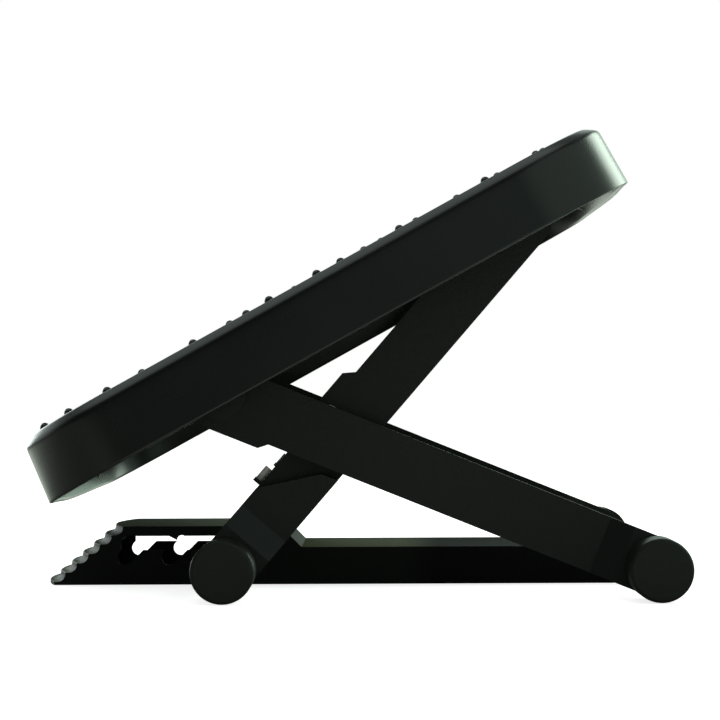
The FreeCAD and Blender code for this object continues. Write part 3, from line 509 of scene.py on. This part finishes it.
def bow_share(y):
    """Share of an end's bow at a place across."""
    if abs(y) >= TRAY_BOW_HALF:
        return 0.0
    return math.cos(math.pi / 2 * y / TRAY_BOW_HALF) ** 2


def front_out(y, z, fade=1.0):
    """How far the front end stands out beyond the plan's straight line, inside the CAD's box."""
    rise = min(1.0, z / BEVEL_START)
    bow = FRONT_BOW * (1.0 - rise) + FRONT_BOW_HIGH * rise
    return bow * bow_share(y) * fade - FRONT_DRAWN_IN


def rear_out(y, z, fade=1.0):
    """The same at the rear end, whose wall is nearly upright and which stays under the top's height."""
    rise = min(1.0, z / BEVEL_START)
    drawn = REAR_WALL_OUT * rise - REAR_DRAWN_IN
    return (REAR_BOW * (1.0 - rise) * bow_share(y) + drawn) * fade


def tray_loop(inset, z, fade=1.0):
    """The platform's outline at one level, with round corners and bowed ends."""
    radius = TRAY_CORNER - inset
    far_x = TRAY_LONG - TRAY_CORNER
    far_y = TRAY_HALF - TRAY_CORNER
    points = []
    for centre_x, centre_y, first in ((far_x, -far_y, -90), (far_x, far_y, 0),
                                      (TRAY_CORNER, far_y, 90), (TRAY_CORNER, -far_y, 180)):
        for step in range(CORNER_STEPS + 1):
            turn = math.radians(first + 90 * step / CORNER_STEPS)
            points.append((centre_x + radius * math.cos(turn), centre_y + radius * math.sin(turn)))
        if first in (-90, 90):
            for step in range(1, END_STEPS):
                points.append((points[-1][0], centre_y - 2 * centre_y * step / END_STEPS))
    loop = []
    for x, y in points:
        if x > far_x:
            x += (x - far_x) / radius * rear_out(y, z, fade)
        elif x < TRAY_CORNER:
            x -= (TRAY_CORNER - x) / radius * front_out(y, z, fade)
        loop.append((x, y, z))
    return loop


def soft_corner(before, here, after, run):
    """Levels that round a corner of the shell's section."""
    ends = []
    for other in (before, after):
        far = math.dist(other, here)
        ends.append([h + (o - h) * run / far for h, o in zip(here, other)])
    levels = []
    for step in range(SOFT_STEPS + 1):
        t = step / SOFT_STEPS
        levels.append([(1 - t) ** 2 * a + 2 * t * (1 - t) * h + t ** 2 * b
                       for a, h, b in zip(ends[0], here, ends[1])])
    return levels


def outside_levels():
    """Inset and height of each loop from the rim up the outer wall and over the bevel."""
    wall_top = BEVEL_START * TRAY_LEAN, BEVEL_START
    bevel_top = TRAY_TALL * TRAY_LEAN + TRAY_BEVEL, TRAY_TALL
    levels = [(RIM_ROUND, 0.0), (RIM_CUT, RIM_CUT)]
    levels += [(z * TRAY_LEAN, z) for z in (RIM_ROUND, *RIM_LEVELS, *WALL_LEVELS)]
    levels += soft_corner((0.0, 0.0), wall_top, bevel_top, SOFT_LOW)
    levels += soft_corner(wall_top, bevel_top, (TRAY_CORNER, TRAY_TALL), SOFT_HIGH)
    levels.append((bevel_top[0] + 2 * TRAY_BEVEL, TRAY_TALL))
    return levels


def inside_levels():
    """The same from the underside of the top down the inner wall to the rim."""
    levels = [(UNDER_EDGE + 2 * TRAY_BEVEL, UNDERSIDE), (UNDER_EDGE, UNDERSIDE)]
    levels += [(TRAY_WALL + z * TRAY_LEAN, z) for z in (UNDER_BEVEL, *reversed(RIM_LEVELS), RIM_ROUND)]
    levels += [(TRAY_WALL - RIM_CUT, RIM_CUT), (TRAY_WALL - RIM_ROUND, 0.0)]
    return levels


def shell_mesh():
    """Points and faces of the platform's closed shell."""
    outside = outside_levels()
    inside = inside_levels()
    verts = []
    for inset, z in outside:
        fade = (TRAY_TALL - z) / TRAY_BEVEL if z > BEVEL_START else 1.0
        verts.extend(tray_loop(inset, z, fade))
    for inset, z in inside:
        verts.extend(tray_loop(inset, z))
    levels = len(outside) + len(inside)
    count = len(verts) // levels
    top = len(outside) - 1
    faces = []
    for level in range(levels):
        if level == top:
            continue
        lower = level * count
        upper = (level + 1) % levels * count
        for i in range(count):
            j = (i + 1) % count
            faces.append([lower + i, lower + j, upper + j, upper + i])
    faces.append([top * count + i for i in range(count)])
    faces.append([(top + 1) * count + i for i in reversed(range(count))])
    return verts, faces


def add_prism(verts, faces, outline, across, thick):
    """A closed plate with a side-view outline, centred at one place across."""
    first = len(verts)
    count = len(outline)
    for y in (across - thick / 2, across + thick / 2):
        verts.extend((x, y, z) for x, z in outline)
    faces.append([first + i for i in range(count)])
    faces.append([first + count + i for i in reversed(range(count))])
    for i in range(count):
        j = (i + 1) % count
        faces.append([first + j, first + i, first + count + i, first + count + j])


def rib_outline(across):
    """A long rib's side view, which ends inside the platform's walls and its top."""
    low = TRAY_WALL / 2 + GUSSET_RISE * TRAY_LEAN
    high = TRAY_WALL / 2 + UNDER_BEVEL * TRAY_LEAN
    gusset = TRAY_WALL + GUSSET_LONG
    return [
        (low - front_out(across, GUSSET_RISE), GUSSET_RISE),
        (gusset, RIB_LOW),
        (TRAY_LONG - gusset, RIB_LOW),
        (TRAY_LONG - low + rear_out(across, GUSSET_RISE), GUSSET_RISE),
        (TRAY_LONG - high + rear_out(across, UNDER_BEVEL), UNDER_BEVEL),
        (TRAY_LONG - UNDER_EDGE, RIB_HIGH),
        (UNDER_EDGE, RIB_HIGH),
        (high - front_out(across, UNDER_BEVEL), UNDER_BEVEL),
    ]


def add_ribs(verts, faces):
    """The long ribs and the cross ribs between the outermost of them."""
    for rib in range(RIB_COUNT):
        across = (rib - (RIB_COUNT - 1) / 2) * RIB_PITCH
        add_prism(verts, faces, rib_outline(across), across, RIB_THICK)
    for place in CROSS_RIBS:
        low_x, high_x = place - RIB_THICK / 2, place + RIB_THICK / 2
        outline = [(low_x, RIB_LOW), (high_x, RIB_LOW), (high_x, RIB_HIGH), (low_x, RIB_HIGH)]
        add_prism(verts, faces, outline, 0.0, RIB_SPAN)


def mesh_piece(name, verts, faces, material, smooth_faces):
    """An object of points in the platform's frame, whose first faces are smooth and the rest flat."""
    mesh = bpy.data.meshes.new(name)
    mesh.from_pydata([from_tray(*point) for point in verts], [], faces)
    for polygon in mesh.polygons:
        polygon.use_smooth = polygon.index < smooth_faces
    mesh.set_sharp_from_angle(angle=SHARP_FROM)
    mesh.materials.append(material)
    piece = bpy.data.objects.new(name, mesh)
    bpy.context.scene.collection.objects.link(piece)
    return piece


def make_platform():
    """The platform's shell and ribs as one piece."""
    verts, faces = shell_mesh()
    shell_faces = len(faces)
    add_ribs(verts, faces)
    material = MATERIALS[NODE_SLOT["platform_tray"]]
    piece = mesh_piece("platform_shell", verts, faces, material, shell_faces)
    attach(piece, "platform")
    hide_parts("platform_tray")


# Domes: uneven ones along both sides, as shares of the platform's length and half width

EDGE_DOME_SHARES = [
    (0.055, 0.835), (0.1, 0.89), (0.165, 0.895), (0.22, 0.815), (0.31, 0.88),
    (0.37, 0.805), (0.4, 0.86), (0.44, 0.925), (0.48, 0.735), (0.52, 0.915),
    (0.56, 0.86), (0.6, 0.78), (0.63, 0.735), (0.66, 0.865), (0.69, 0.775),
    (0.76, 0.78), (0.805, 0.89), (0.83, 0.765), (0.895, 0.79), (0.91, 0.73),
]
DOME_RADIUS = 2.7
DOME_TALL = 2.6
DOME_SUNK = 0.3
DOME_PITCH = 33.0
DOME_FIELD_SHARE = 0.64
DOME_END_GAP = 23.0
DOME_STEPS = 18
DOME_RINGS = 6


def dome_places():
    """Where the domes stand: the uneven ones, then rows that cover the platform's middle."""
    places = [(TRAY_LONG * along, side * TRAY_HALF * out)
              for along, out in EDGE_DOME_SHARES for side in (-1, 1)]
    half = TRAY_HALF * DOME_FIELD_SHARE
    run = TRAY_LONG - 2 * DOME_END_GAP
    columns = int(run / DOME_PITCH)
    lines = int(2 * half / DOME_PITCH)
    for line in range(lines + 1):
        odd = line % 2
        for column in range(columns + 1 - odd):
            places.append((DOME_END_GAP + run / columns * (column + odd / 2),
                           -half + 2 * half * line / lines))
    return places


def add_dome(verts, faces, x, y):
    """A closed dome that is sunk a little into the platform's top."""
    first = len(verts)
    for ring in range(DOME_RINGS):
        tilt = math.pi / 2 * ring / DOME_RINGS
        radius = DOME_RADIUS * math.cos(tilt)
        z = TRAY_TALL - DOME_SUNK + (DOME_TALL + DOME_SUNK) * math.sin(tilt)
        for step in range(DOME_STEPS):
            turn = 2 * math.pi * step / DOME_STEPS
            verts.append((x + radius * math.cos(turn), y + radius * math.sin(turn), z))
    peak = len(verts)
    verts.append((x, y, TRAY_TALL + DOME_TALL))
    last = peak - DOME_STEPS
    for low in range(first, last, DOME_STEPS):
        high = low + DOME_STEPS
        for step in range(DOME_STEPS):
            after = (step + 1) % DOME_STEPS
            faces.append([low + step, low + after, high + after, high + step])
    for step in range(DOME_STEPS):
        faces.append([last + step, last + (step + 1) % DOME_STEPS, peak])
    faces.append([first + step for step in reversed(range(DOME_STEPS))])


def make_domes():
    """All domes as one piece."""
    verts = []
    faces = []
    for x, y in dome_places():
        add_dome(verts, faces, x, y)
    slot = NODE_SLOT["massage_domes"]
    piece = mesh_piece("dome_field", verts, faces, MATERIALS[slot], len(faces))
    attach(piece, "platform")
    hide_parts("massage_domes")


bpy.context.scene.view_settings.view_transform = "Standard"
make_camera()
make_world()
make_floor()
make_lights()
dress_nodes()
make_platform()
make_domes()
